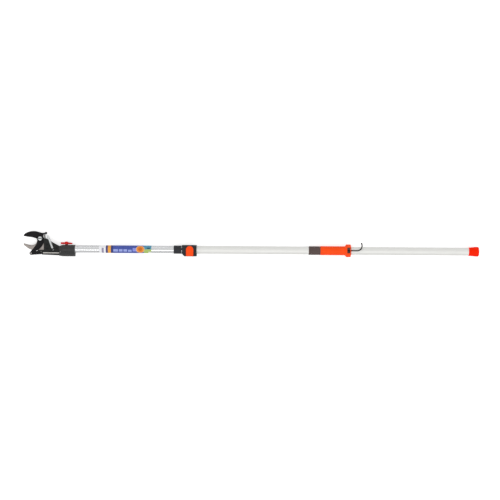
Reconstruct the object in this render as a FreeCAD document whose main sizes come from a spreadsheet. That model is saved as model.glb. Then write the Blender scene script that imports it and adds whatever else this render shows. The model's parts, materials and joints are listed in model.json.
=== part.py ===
import FreeCAD, Part
import Sketcher
import math
import os

# Telescoping pole pruner, lying flat.  Millimetres.
# Working coordinates: x runs along the pole from the jaw pivot to the end cap, y is across the
# pole in the plane of the blades, z is square to the blades.  y = z = 0 is the pole's axis.
# Every sub-part is moved at the end so that the origin is under the middle of the whole tool.

App = FreeCAD
Vector = App.Vector
doc = App.newDocument("PolePruner")

SIZES = {
    # stations along the pole
    "neck_length": 77.0,
    "collar_length": 63.0,
    "front_bare": 390.0,
    "outer_length": 1165.5,
    "grip_setback": 501.2,
    # tubes and the draw linkage inside them
    "outer_od": 32.0,
    "outer_wall": 0.8,
    "front_od": 30.2,
    "front_wall": 1.0,
    "front_inset": 46.0,
    "pin_margin": 44.0,
    "draw_rod_dia": 8.0,
    "rod_seat": 3.0,
    "rod_setback": 16.0,
    "draw_tube_od": 12.0,
    "draw_tube_start": 36.0,
    "clutch_length": 20.0,
    "stroke": 29.7,
    # fits
    "slide_gap": 0.1,
    "run_gap": 0.06,
    "side_gap": 0.3,
    # jaws and pivot
    "pivot_rise": 40.0,
    "jaw_reach": 65.4,
    "crown_height": 29.84,
    "blade_thick": 4.0,
    "jaw_thick": 4.0,
    "pivot_dia": 8.0,
    "pivot_head_dia": 17.0,
    "pivot_head_thick": 4.0,
    "pivot_nut_height": 4.5,
    "pivot_nut_wall": 3.5,
    "washer_margin": 1.5,
    "washer_thick": 1.0,
    "arm_back": 34.8,
    "arm_drop": 58.7,
    "arm_end_radius": 6.6,
    # drive link and rod
    "link_pin_dia": 4.6,
    "link_width": 14.4,
    "link_nose_radius": 6.3,
    "link_plate": 2.2,
    "link_span": 39.7,
    "rod_pin_dia": 4.0,
    "eye_slack": 1.1,
    "eye_shift_x": 0.16,
    "eye_shift_y": 0.94,
    "rod_dia": 5.7,
    "rod_drop": 15.6,
    # head channel
    "cheek_thick": 2.5,
    "cheek_front_gap": 0.6,
    "channel_start": 16.0,
    "channel_depth": 26.0,
    "lip_reach": 8.0,
    "skirt_reach": 9.0,
    "lip_top": 5.0,
    "lip_bottom": 12.0,
    "bolt_dia": 5.0,
    "bolt_head_dia": 8.4,
    "bolt_head_thick": 2.2,
    "nut_height": 3.2,
    "bolt_tail": 4.0,
    "spacer_dia": 8.0,
    # return spring
    "spring_dia": 8.6,
    "spring_wire": 1.3,
    "spring_plane": 12.3,
    "loop_radius": 7.6,
    "peg_dia": 4.0,
    "peg_standout": 1.6,
    "peg_head_thick": 1.2,
    "peg_head_margin": 0.9,
    # collar and wing bolt
    "collar_radius": 16.2,
    "collar_taper": 14.0,
    "lobe_radius": 9.8,
    "lobe_drop": 19.8,
    "wing_setback": 28.0,
    "boss_dia": 13.0,
    "crosshead_inset": 4.0,
    "crosshead_length": 8.0,
    "crosshead_width": 9.2,
    "cavity_gap": 0.6,
    "wing_span": 47.0,
    "wing_height": 8.0,
    "wing_thick": 7.0,
    "hub_dia": 16.0,
    "hub_rise": 3.5,
    "thread_depth": 5.0,
    "stud_dia": 8.0,
    # length lock
    "nose_length": 30.5,
    "nose_gap": 1.7,
    "nose_wall": 1.2,
    "tube_inset": 4.0,
    "lock_length": 58.0,
    "lock_top": 18.6,
    "lock_bottom": 26.5,
    "lock_half_depth": 19.0,
    "lock_round": 25.5,
    "lever_width": 29.2,
    "lever_thick": 4.5,
    "lever_pin_dia": 3.0,
    "lever_inset": 17.0,
    "lever_reach": 14.6,
    "lever_barrel_dia": 7.2,
    "ear_thick": 5.0,
    "shoe_dia": 10.0,
    "screw_spacing": 28.0,
    "screw_dia": 4.0,
    "screw_head_dia": 7.6,
    "screw_head_thick": 2.0,
    # sliding grip
    "carrier_wall": 1.0,
    "cover_wall": 0.8,
    "nose_sleeve": 46.3,
    "grip_length": 120.4,
    "flange_dia": 51.0,
    "flange_length": 24.5,
    "cross_pin_dia": 5.0,
    "pin_setback": 12.0,
    "flange_rim": 4.0,
    "flange_recess": 8.0,
    "hook_wire": 4.8,
    "hook_radius": 20.0,
    "hook_standout": 23.0,
    "hook_clearance": 4.4,
    # end cap and label
    "cap_length": 40.3,
    "cap_skirt_dia": 33.6,
    "cap_end_dia": 38.6,
    "cap_floor": 5.0,
    "label_start": 96.0,
    "label_length": 206.0,
    "label_film": 0.12,
}

sheet = doc.addObject("Spreadsheet::Sheet", "dims")
for row, (alias, value) in enumerate(SIZES.items(), start=1):
    sheet.set(f"A{row}", alias)
    sheet.set(f"B{row}", str(value))
    sheet.setAlias(f"B{row}", alias)
doc.recompute()


class Size:
    """A length that carries the sheet expression it was worked out from."""

    def __init__(self, value, text):
        self.value = value
        self.text = text

    def _with(self, other, sign, value):
        return Size(value, f"({self.text} {sign} {size(other).text})")

    def __add__(self, other):
        return self._with(other, "+", self.value + size(other).value)

    def __sub__(self, other):
        return self._with(other, "-", self.value - size(other).value)

    def __mul__(self, other):
        return self._with(other, "*", self.value * size(other).value)

    def __truediv__(self, other):
        return self._with(other, "/", self.value / size(other).value)

    def __radd__(self, other):
        return size(other) + self

    def __rsub__(self, other):
        return size(other) - self

    def __rmul__(self, other):
        return size(other) * self

    def __neg__(self):
        return size(0.0) - self


def size(item):
    """Turn a plain number into a Size."""
    return item if isinstance(item, Size) else Size(float(item), f"({float(item):.6f})")


class Dims:
    """Named sizes read back from the sheet, such as d.outer_od."""

    def __getattr__(self, alias):
        return Size(float(sheet.get(alias)), f"dims.{alias}")


d = Dims()

# ---------------------------------------------------------------- places along the pole
collar_x0 = d.neck_length
collar_x1 = collar_x0 + d.collar_length
lock_x0 = collar_x1 + d.front_bare
housing_x0 = lock_x0 + d.nose_length + d.nose_gap
housing_x1 = housing_x0 + d.lock_length
outer_x0 = housing_x0 + d.tube_inset
outer_x1 = outer_x0 + d.outer_length
grip_x1 = outer_x1 - d.grip_setback
flange_x0 = grip_x1 - d.flange_length
grip_x0 = grip_x1 - d.grip_length
carrier_x0 = grip_x0 - d.nose_sleeve
cross_x = grip_x1 - d.pin_setback
front_x0 = collar_x1 - d.front_inset
front_x1 = cross_x - d.pin_margin
clutch_x0 = outer_x0 + d.draw_tube_start
cap_x1 = outer_x1 + d.cap_floor
cap_x0 = cap_x1 - d.cap_length

# radii that several pieces share
outer_r = d.outer_od / 2
outer_bore = outer_r - d.outer_wall
front_r = d.front_od / 2
front_bore = front_r - d.front_wall
carrier_bore = outer_r + d.slide_gap
carrier_r = carrier_bore + d.carrier_wall
cover_r = carrier_r + d.cover_wall

# layers square to the blades
blade_top = d.blade_thick / 2
blade_low = -blade_top
jaw_top = blade_low - d.side_gap
jaw_low = jaw_top - d.jaw_thick
link_in = blade_top + d.side_gap
link_out = link_in + d.link_plate
cheek_in = link_out + d.cheek_front_gap
cheek_out = cheek_in + d.cheek_thick
cheek_low = jaw_low - d.cheek_thick

# pins of the drive linkage
arm_x = -d.arm_back
arm_y = d.pivot_rise - d.arm_drop
rod_y = -d.rod_drop
rod_pin_x = arm_x + d.link_span

# how far the whole tool is moved so that it lies on z = 0 around the origin
blade_crest = d.pivot_rise + d.crown_height
shift_x = -(cap_x1 - d.jaw_reach) / 2
shift_y = -(blade_crest - d.lobe_drop - d.lobe_radius) / 2
shift_z = d.flange_dia / 2

ALONG_X = App.Rotation()
ALONG_Y = App.Rotation(Vector(1, 0, 0), Vector(0, 1, 0))
ALONG_Z = App.Rotation(Vector(1, 0, 0), Vector(0, 0, 1))
CYLINDER_TO_X = App.Rotation(Vector(0, 0, 1), Vector(1, 0, 0))
CYLINDER_TO_Y = App.Rotation(Vector(0, 0, 1), Vector(0, 1, 0))
CYLINDER_TO_Z = App.Rotation()

OVERCUT = 1.0  # how far a cutting tool runs past the faces it cuts
HOOK_SWEEP = 120.0  # degrees of wire in the hook's bend
PRESS = 0.02  # hair gap of parts that are pressed or glued together

nodes = []


def place(thing, x, y, z, turn=None, shifted=True):
    """Put an object at sheet-bound coordinates, with the whole tool's shift if it is a sub-part."""
    spots = [size(x), size(y), size(z)]
    if shifted:
        spots = [spots[0] + shift_x, spots[1] + shift_y, spots[2] + shift_z]
    thing.Placement = App.Placement(Vector(*[spot.value for spot in spots]), turn or App.Rotation())
    for axis, spot in zip("xyz", spots):
        thing.setExpression(f".Placement.Base.{axis}", spot.text)
    return thing


def node(thing, label):
    """Register a finished sub-part under its node name."""
    thing.Label = label
    nodes.append(thing)
    return thing


def base_plane(body, role):
    """One of a body's own origin planes."""
    return [item for item in body.Origin.OriginFeatures if item.Role == role][0]


def pin_value(sketch, kind, geometry, point, value):
    """Fix one coordinate of a sketch point to a sheet expression."""
    value = size(value)
    if abs(value.value) < 1e-9 and "dims" not in value.text:
        axis = -2 if kind == "DistanceX" else -1
        sketch.addConstraint(Sketcher.Constraint("PointOnObject", geometry, point, axis))
        return
    index = sketch.addConstraint(Sketcher.Constraint(kind, -1, 1, geometry, point, value.value))
    sketch.setExpression(f"Constraints[{index}]", value.text)


def draw_outline(sketch, points):
    """Closed polygon whose corners are bound to the sheet."""
    first = sketch.GeometryCount
    spots = [Vector(size(a).value, size(b).value, 0) for a, b in points]
    count = len(points)
    for index, start in enumerate(spots):
        sketch.addGeometry(Part.LineSegment(start, spots[(index + 1) % count]), False)
    for index in range(count):
        following = first + (index + 1) % count
        sketch.addConstraint(Sketcher.Constraint("Coincident", first + index, 2, following, 1))
    for index, (a, b) in enumerate(points):
        pin_value(sketch, "DistanceX", first + index, 1, a)
        pin_value(sketch, "DistanceY", first + index, 1, b)


def draw_hole(sketch, x, y, radius):
    """Circle bound to the sheet."""
    x, y, radius = size(x), size(y), size(radius)
    circle = Part.Circle(Vector(x.value, y.value, 0), Vector(0, 0, 1), radius.value)
    index = sketch.addGeometry(circle, False)
    pin_value(sketch, "DistanceX", index, 3, x)
    pin_value(sketch, "DistanceY", index, 3, y)
    number = sketch.addConstraint(Sketcher.Constraint("Radius", index, radius.value))
    sketch.setExpression(f"Constraints[{number}]", radius.text)


def new_sketch(body, role="XY_Plane"):
    sketch = body.newObject("Sketcher::SketchObject", "Profile")
    sketch.AttachmentSupport = (base_plane(body, role), [""])
    sketch.MapMode = "FlatFace"
    return sketch


def turned(label, profile, spot=(0, 0, 0), turn=ALONG_X, is_node=True):
    """A turned piece: profile corners are (distance along the axis, radius)."""
    body = doc.addObject("PartDesign::Body", label)
    sketch = new_sketch(body)
    draw_outline(sketch, profile)
    lathe = body.newObject("PartDesign::Revolution", "Turning")
    lathe.Profile = sketch
    lathe.ReferenceAxis = (sketch, ["H_Axis"])
    lathe.Angle = 360
    place(body, *spot, turn, shifted=is_node)
    if is_node:
        node(body, label)
    return body


def plate(label, outline, low, thick, holes=(), is_node=True):
    """A flat piece cut from plate, square to z, from z = low."""
    body = doc.addObject("PartDesign::Body", label)
    sketch = new_sketch(body)
    draw_outline(sketch, outline)
    for hole in holes:
        draw_hole(sketch, *hole)
    pad = body.newObject("PartDesign::Pad", "Thickness")
    pad.Profile = sketch
    pad.setExpression("Length", size(thick).text)
    place(body, 0, 0, low, shifted=is_node)
    if is_node:
        node(body, label)
    return body


def rod(x, y, z, length, radius, turn=CYLINDER_TO_X):
    """A plain cylinder used inside a boolean."""
    cylinder = doc.addObject("Part::Cylinder", "Round")
    cylinder.setExpression("Radius", size(radius).text)
    cylinder.setExpression("Height", size(length).text)
    return place(cylinder, x, y, z, turn, shifted=False)


def cone(x, y, length, near_radius, far_radius):
    """A taper along the pole, used inside a boolean."""
    taper = doc.addObject("Part::Cone", "Taper")
    taper.setExpression("Radius1", size(near_radius).text)
    taper.setExpression("Radius2", size(far_radius).text)
    taper.setExpression("Height", size(length).text)
    return place(taper, x, y, 0, CYLINDER_TO_X, shifted=False)


def block(x0, x1, y0, y1, z0, z1):
    """A plain box used inside a boolean."""
    box = doc.addObject("Part::Box", "Block")
    box.setExpression("Length", (size(x1) - x0).text)
    box.setExpression("Width", (size(y1) - y0).text)
    box.setExpression("Height", (size(z1) - z0).text)
    return place(box, x0, y0, z0, shifted=False)


def fuse(*pieces):
    joined = doc.addObject("Part::MultiFuse", "Joined")
    joined.Shapes = list(pieces)
    return joined


def common(*pieces):
    shared = doc.addObject("Part::MultiCommon", "Shared")
    shared.Shapes = list(pieces)
    return shared


def cut(base, *tools):
    trimmed = doc.addObject("Part::Cut", "Trimmed")
    trimmed.Base = base
    trimmed.Tool = fuse(*tools) if len(tools) > 1 else tools[0]
    return trimmed


def finished(label, thing):
    """Name a boolean result and move it with the whole tool."""
    place(thing, 0, 0, 0)
    return node(thing, label)


def group(label, pieces):
    """Identical fasteners kept as separate solids of one node."""
    bunch = doc.addObject("Part::Compound", label)
    bunch.Links = list(pieces)
    return finished(label, bunch)


def ring_profile(x0, x1, inner, outer):
    return [(x0, inner), (x1, inner), (x1, outer), (x0, outer)]


def headed_profile(length, radius, head_length, head_radius):
    """A pin with its head at the far end of the axis."""
    total = size(length) + head_length
    return [(0, 0), (0, radius), (length, radius), (length, head_radius), (total, head_radius), (total, 0)]


def smooth(points):
    """A smooth edge through hand-chosen points."""
    curve = Part.BSplineCurve()
    curve.interpolate(Points=points)
    return curve.toShape()


def flat_point(x, y, z):
    return Vector(size(x).value, size(y).value, size(z).value)


def shaped_plate(label, edges, low, thick, holes):
    """A freeform plate: its smooth outline has no straight sketch form."""
    face = Part.Face(Part.Wire(edges))
    solid = face.extrude(Vector(0, 0, size(thick).value))
    for x, y, radius in holes:
        centre = flat_point(x, y, size(low) - OVERCUT)
        solid = solid.cut(Part.makeCylinder(size(radius).value, size(thick).value + 2 * OVERCUT, centre))
    feature = doc.addObject("Part::Feature", label)
    feature.Shape = solid
    place(feature, 0, 0, 0)
    return node(feature, label)


# ---------------------------------------------------------------- jaws
pivot_y = d.pivot_rise
peg_x = size(17.6)
peg_y = pivot_y + 9.6
spring_post_x = size(53.0)
spring_post_y = size(-2.7)


def moving_blade():
    """Hooked cutting blade and its crank arm, one plate."""
    low = blade_low
    reach = d.jaw_reach

    def at(x, y):
        return flat_point(x, pivot_y + y, low)

    tip_low = at(-reach * 0.98, 10.0)
    tip = at(-reach, 12.4)
    crown = [tip, at(-reach * 0.96, 16.4), at(-reach * 0.74, 25.4), at(-31.0, 29.2), at(-18.0, 29.2),
             at(-6.0, 26.3), at(5.0, 23.2), at(15.0, 22.8), at(20.5, 24.9)]
    ear_side = at(28.2, 22.6)
    ear_low = at(23.2, 17.9)
    notch_side = at(20.4, 9.6)
    notch_low = at(22.6, 3.2)
    arm_right = [notch_low, at(19.5, -5.0), at(14.7, -16.1), at(2.8, -35.6), at(-8.0, -44.6),
                 at(5.9 - d.arm_back, 2.9 - d.arm_drop)]
    far = at(-d.arm_back, -d.arm_drop - d.arm_end_radius)
    arm_left = [at(-d.arm_back - 5.9, 2.9 - d.arm_drop), at(-33.5, -47.5), at(-24.5, -36.5),
                at(-15.4, -22.9), at(-12.0, -13.0)]
    throat = [arm_left[-1], at(-11.3, -7.0), at(-13.6, -1.6), at(-20.6, 2.0)]
    edge = [throat[-1], at(-37.2, 5.6), at(-reach * 0.85, 7.9), tip_low]
    edges = [smooth(crown), Part.Arc(crown[-1], ear_side, ear_low).toShape(),
             Part.Arc(ear_low, notch_side, notch_low).toShape(), smooth(arm_right),
             Part.Arc(arm_right[-1], far, arm_left[0]).toShape(), smooth(arm_left), smooth(throat),
             smooth(edge), Part.LineSegment(tip_low, tip).toShape()]
    holes = [
        (0, pivot_y, d.pivot_dia / 2 + d.run_gap),
        (arm_x, arm_y, d.link_pin_dia / 2),
        (peg_x, peg_y, d.peg_dia / 2),
    ]
    return shaped_plate("moving_blade", edges, low, d.blade_thick, holes)


cross_bolts = [(size(28.0), size(17.0)), (size(30.0), size(1.0)), (size(66.0), size(2.0))]
cross_bolt_r = d.bolt_dia / 2


def fixed_jaw():
    """Lower jaw that the branch is cut against, with the tail that is bolted into the head."""
    low = jaw_low
    reach = d.jaw_reach
    x0 = d.channel_start

    def at(x, y):
        return flat_point(x, y, low)

    nose_top = at(-reach, 22.3)
    nose_low = at(-reach, 14.0)
    seat = [nose_top, at(-reach * 0.85, 18.7), at(-44, 15.6), at(-33.7, 14.1), at(-25.3, 15.6),
            at(-18.6, 19.5), at(-13.0, 28), at(-11.5, pivot_y)]
    shoulder = at(0, pivot_y + 11.5)
    tail = [at(11.5, pivot_y), at(14, 38.5), at(x0 + 30, 22.6), at(52, 19.0), at(52, -6), at(-28, -6)]
    belly = [tail[-1], at(-34.5, -4.2), at(-reach * 0.72, 1.3), at(-reach * 0.85, 7.2), nose_low]
    edges = [smooth(seat), Part.Arc(seat[-1], shoulder, tail[0]).toShape()]
    edges += [Part.LineSegment(a, b).toShape() for a, b in zip(tail, tail[1:])]
    edges += [smooth(belly), Part.LineSegment(nose_low, nose_top).toShape()]
    holes = [(0, pivot_y, d.pivot_dia / 2)]
    holes += [(x, y, cross_bolt_r) for x, y in cross_bolts[:2]]
    return shaped_plate("fixed_jaw", edges, low, d.jaw_thick, holes)


def pivot_parts():
    pin_r = d.pivot_dia / 2
    start = jaw_low - d.pivot_nut_height - 0.5
    head_z = blade_top + d.washer_thick
    turned("pivot_bolt", headed_profile(head_z - start, pin_r, d.pivot_head_thick, d.pivot_head_dia / 2),
           (0, pivot_y, start), ALONG_Z)
    washer_r = d.pivot_head_dia / 2 + d.washer_margin
    turned("pivot_washer", ring_profile(0, d.washer_thick, pin_r + d.run_gap, washer_r),
           (0, pivot_y, blade_top), ALONG_Z)
    turned("pivot_nut", ring_profile(0, d.pivot_nut_height, pin_r, pin_r + d.pivot_nut_wall),
           (0, pivot_y, jaw_low - d.pivot_nut_height), ALONG_Z)


# ---------------------------------------------------------------- head channel
def head_body():
    """Pressed channel: a deep back cheek, a short front cheek and a web along the slope."""
    x0 = d.channel_start
    x1 = collar_x0
    slope = [(x0, 44.5), (x0 + 8, 41.0), (x0 + 30, 27.2), (x1, 10.5)]
    slope_inside = [(x1, 7.6), (x0 + 30, 24.0), (x0 + 8, 37.2)]
    lip = [(-d.lip_reach, -d.lip_bottom), (-d.lip_reach, -d.lip_top), (x0, -d.lip_top)]
    heel = x0 - d.skirt_reach
    skirt = [(x1, -d.channel_depth), (heel, 2.5 - d.channel_depth), (heel, -d.lip_bottom)]
    holes = [(x, y, cross_bolt_r) for x, y in cross_bolts]
    back = plate("back_cheek", [*slope, *skirt, *lip], cheek_low, d.cheek_thick, holes, is_node=False)
    holes.append((spring_post_x, spring_post_y, d.peg_dia / 2))
    front = plate("front_cheek", [*slope, (x1, -d.lip_bottom), *lip], cheek_in, d.cheek_thick, holes,
                  is_node=False)
    web = plate("web", [*slope[1:], *slope_inside], jaw_low, cheek_in - jaw_low, is_node=False)
    return finished("head_body", fuse(back, front, web))


def cross_bolt_group():
    """Three bolts that clamp the channel to the jaw plate and to the collar's tongue."""
    start = cheek_low - d.bolt_tail
    head_r = d.bolt_head_dia / 2
    bolts = []
    nuts = []
    for x, y in cross_bolts:
        shank = rod(x, y, start, cheek_out - start, cross_bolt_r, CYLINDER_TO_Z)
        bolts.append(fuse(shank, rod(x, y, cheek_out, d.bolt_head_thick, head_r, CYLINDER_TO_Z)))
        nuts.append(cut(rod(x, y, cheek_low - d.nut_height, d.nut_height, head_r, CYLINDER_TO_Z),
                        rod(x, y, start - OVERCUT, d.bolt_tail + 2 * OVERCUT, cross_bolt_r, CYLINDER_TO_Z)))
    group("cross_bolts", bolts)
    group("cross_nuts", nuts)
    gap = cheek_in - jaw_top
    spacers = []
    for x, y in cross_bolts[:2]:
        spacers.append(cut(rod(x, y, jaw_top, gap, d.spacer_dia / 2, CYLINDER_TO_Z),
                           rod(x, y, jaw_top - OVERCUT, gap + 2 * OVERCUT, cross_bolt_r, CYLINDER_TO_Z)))
    group("jaw_spacers", spacers)


# ---------------------------------------------------------------- spring
def spring_parts():
    """Return spring with a loop over a peg on the blade and a hook round a post on the head."""
    plane = d.spring_plane
    wire_r = d.spring_wire / 2
    top = plane + d.peg_standout
    peg_r = d.peg_dia / 2
    head_r = peg_r + d.peg_head_margin
    turned("spring_peg", headed_profile(top - blade_low, peg_r, d.peg_head_thick, head_r),
           (peg_x, peg_y, blade_low), ALONG_Z)
    turned("spring_post", headed_profile(top - cheek_in, peg_r, d.peg_head_thick, head_r),
           (spring_post_x, spring_post_y, cheek_in), ALONG_Z)
    peg = flat_point(peg_x, peg_y, plane)
    post = flat_point(spring_post_x, spring_post_y, plane)
    loop_r = d.loop_radius.value
    loop_centre = peg + Vector(loop_r - wire_r.value - d.peg_dia.value / 2, 0, 0)
    coil_start = loop_centre + Vector(loop_r + 2.2, 2.4, 0)
    pull = (post - coil_start).normalize()
    hook_r = d.peg_dia.value / 2 + wire_r.value
    coil_end = post - pull * (hook_r + 0.3)
    coil_length = (coil_end - coil_start).Length
    coil_r = d.spring_dia.value / 2
    coil = Part.makeCylinder(coil_r, coil_length, coil_start, pull)
    coil = coil.cut(Part.makeCylinder(coil_r - d.spring_wire.value, coil_length, coil_start, pull))
    cap_low = Part.makeCylinder(coil_r, wire_r.value, coil_start, pull)
    cap_high = Part.makeCylinder(coil_r, wire_r.value, coil_end, -pull)
    loop = Part.makeTorus(loop_r, wire_r.value - 0.05, loop_centre, Vector(0, 0, 1))
    hook = Part.makeTorus(hook_r, wire_r.value - 0.05, post, Vector(0, 0, 1))
    feature = doc.addObject("Part::Feature", "return_spring")
    feature.Shape = coil.fuse([cap_low, cap_high, loop, hook]).removeSplitter()
    place(feature, 0, 0, 0)
    node(feature, "return_spring")


# ---------------------------------------------------------------- drive link and rod
def drive_parts():
    """Twin-plate link from the crank arm to the eye of the pull rod."""
    pin_r = d.link_pin_dia / 2
    turned("crank_pin", headed_profile(link_out * 2 + 0.6, pin_r, 0.9, pin_r + 0.6),
           (arm_x, arm_y, -link_out - 0.6), ALONG_Z)
    eye_x = rod_pin_x + d.eye_shift_x
    eye_y = rod_y + d.eye_shift_y
    half = d.link_width / 2
    nose_r = d.link_nose_radius
    plates = []
    for low in (link_in, -link_out):
        bar = plate("link_bar", [(arm_x, arm_y - nose_r), (eye_x, eye_y - half), (eye_x, eye_y + half),
                                 (arm_x + 12, arm_y + nose_r + 2.2), (arm_x, arm_y + nose_r)],
                    low, d.link_plate, is_node=False)
        ends = [rod(arm_x, arm_y, low, d.link_plate, nose_r, CYLINDER_TO_Z),
                rod(eye_x, eye_y, low, d.link_plate, half, CYLINDER_TO_Z)]
        deep = d.link_plate + 2 * OVERCUT
        holes = [rod(arm_x, arm_y, low - OVERCUT, deep, pin_r + d.run_gap, CYLINDER_TO_Z),
                 rod(eye_x, eye_y, low - OVERCUT, deep, d.rod_pin_dia / 2 + d.eye_slack, CYLINDER_TO_Z)]
        plates.append(cut(fuse(bar, *ends), *holes))
    group("drive_link", plates)
    pin_half = link_out + 0.3
    head_r = d.rod_pin_dia / 2 + d.eye_slack + 1
    pin = fuse(rod(rod_pin_x, rod_y, -pin_half, pin_half * 2, d.rod_pin_dia / 2, CYLINDER_TO_Z),
               rod(rod_pin_x, rod_y, pin_half - 0.15, 0.9, head_r - 1.4, CYLINDER_TO_Z))
    finished("rod_pin", pin)
    eye = cut(fuse(rod(rod_pin_x, rod_y, blade_low + 0.1, d.blade_thick - 0.2, 4.6, CYLINDER_TO_Z),
                   rod(rod_pin_x, rod_y, 0, crosshead_x0 + 5 - rod_pin_x, 1.9)),
              rod(rod_pin_x, rod_y, blade_low - 1, d.blade_thick + 2, d.rod_pin_dia / 2, CYLINDER_TO_Z))
    shaft_x0 = rod_pin_x + half + d.run_gap * 10
    shaft = rod(shaft_x0, rod_y, 0, crosshead_x1 - shaft_x0, d.rod_dia / 2)
    finished("pull_rod", fuse(eye, shaft))


crosshead_x0 = collar_x0 + d.crosshead_inset
crosshead_x1 = crosshead_x0 + d.crosshead_length


def crosshead():
    """Block that carries the pull rod's load up to the draw rod on the pole's axis."""
    half = d.crosshead_width / 2
    through = d.crosshead_length + 2 * OVERCUT
    leg = block(crosshead_x0, crosshead_x1, rod_y - 4, 5.5, -half, half)
    holes = [rod(crosshead_x0 - OVERCUT, rod_y, 0, through, d.rod_dia / 2),
             rod(crosshead_x0 + d.rod_seat, 0, 0, through, d.draw_rod_dia / 2)]
    finished("crosshead", cut(leg, *holes))


# ---------------------------------------------------------------- collar
wing_x = collar_x0 + d.wing_setback


slot_x1 = front_x0 + d.stroke + OVERCUT


def base_collar():
    """Cast collar: socket for the front tube, cavity for the crosshead, tongue for the head."""
    length = d.collar_length
    taper = d.collar_taper
    barrel = fuse(rod(collar_x0 + taper, 0, 0, length - taper, d.collar_radius),
                  cone(collar_x0, 0, taper, d.collar_radius - 4.5, d.collar_radius))
    lobe = fuse(rod(collar_x0 + taper, -d.lobe_drop, 0, length - taper, d.lobe_radius),
                cone(collar_x0, -d.lobe_drop, taper, d.lobe_radius - 2, d.lobe_radius))
    side = d.collar_radius * 0.82
    flank = block(collar_x0 + taper * 0.4, collar_x1, -d.lobe_drop, 0, -side, side)
    waist = common(flank, rod(collar_x0, -d.lobe_drop * 0.42, 0, length, d.collar_radius - 0.6))
    tongue = block(collar_x0 - 18, collar_x0 + OVERCUT, -5, 6.5, jaw_low, cheek_in)
    boss = rod(wing_x, 0, 0, d.collar_radius + 1.2, d.boss_dia / 2, CYLINDER_TO_Y)
    socket = rod(front_x0, 0, 0, length, front_r + PRESS)
    half = d.crosshead_width / 2 + d.cavity_gap
    cavity = block(collar_x0 - OVERCUT, slot_x1, rod_y - 4 - d.cavity_gap, 7, -half, half)
    channel = rod(collar_x0 - OVERCUT, rod_y, 0, length - 20, d.rod_dia / 2 + 1)
    stud_hole = rod(wing_x, 10, 0, 12, d.stud_dia / 2, CYLINDER_TO_Y)
    bolt_x, bolt_y = cross_bolts[2]
    bolt_hole = rod(bolt_x, bolt_y, jaw_low - OVERCUT, cheek_in - jaw_low + 2 * OVERCUT, cross_bolt_r,
                    CYLINDER_TO_Z)
    body = fuse(barrel, lobe, waist, tongue, boss)
    finished("base_collar", cut(body, socket, cavity, channel, stud_hole, bolt_hole))


def wing_bolt():
    """Winged bolt that clamps the head on the pole."""
    top = d.collar_radius + 2
    half = d.wing_span / 2
    edge = d.wing_thick / 2
    wings = block(wing_x - half, wing_x + half, top, top + d.wing_height, -edge, edge)
    hub = rod(wing_x, top - 0.5, 0, d.wing_height + d.hub_rise, d.hub_dia / 2, CYLINDER_TO_Y)
    bore = rod(wing_x, top - OVERCUT, 0, d.thread_depth + OVERCUT, d.stud_dia / 2, CYLINDER_TO_Y)
    finished("wing_knob", cut(fuse(wings, hub), bore))
    stud_r = d.stud_dia / 2 - d.run_gap
    stud_length = top + d.thread_depth - front_r - d.slide_gap
    turned("wing_stud", [(0, 0), (0, stud_r), (stud_length, stud_r), (stud_length, 0)],
           (wing_x, front_r + d.slide_gap, 0), ALONG_Y)


# ---------------------------------------------------------------- front tube
def front_tube_parts():
    tube = turned("front_blank", ring_profile(front_x0, front_x1, front_bore, front_r), is_node=False)
    half = d.crosshead_width / 2 + d.cavity_gap
    slot = block(front_x0 - OVERCUT, slot_x1, -d.front_od, -8, -half, half)
    finished("front_tube", cut(tube, slot))
    label_x0 = collar_x1 + d.label_start
    turned("label_film", ring_profile(label_x0, label_x0 + d.label_length, front_r, front_r + d.label_film))
    lip = front_x1 + 6
    guide_r = outer_bore - d.run_gap
    bore = d.draw_tube_od / 2 + 1
    turned("tube_guide", [(front_x1 - 12, bore), (lip, bore), (lip, guide_r), (front_x1, guide_r),
                          (front_x1, front_bore), (front_x1 - 12, front_bore)])


# ---------------------------------------------------------------- length lock
lever_pin_y = size(-22.4)
lever_pin_z = d.lock_half_depth + 3.9
lever_x0 = housing_x0 + d.lever_inset
lever_x1 = lever_x0 + d.lever_width


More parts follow.
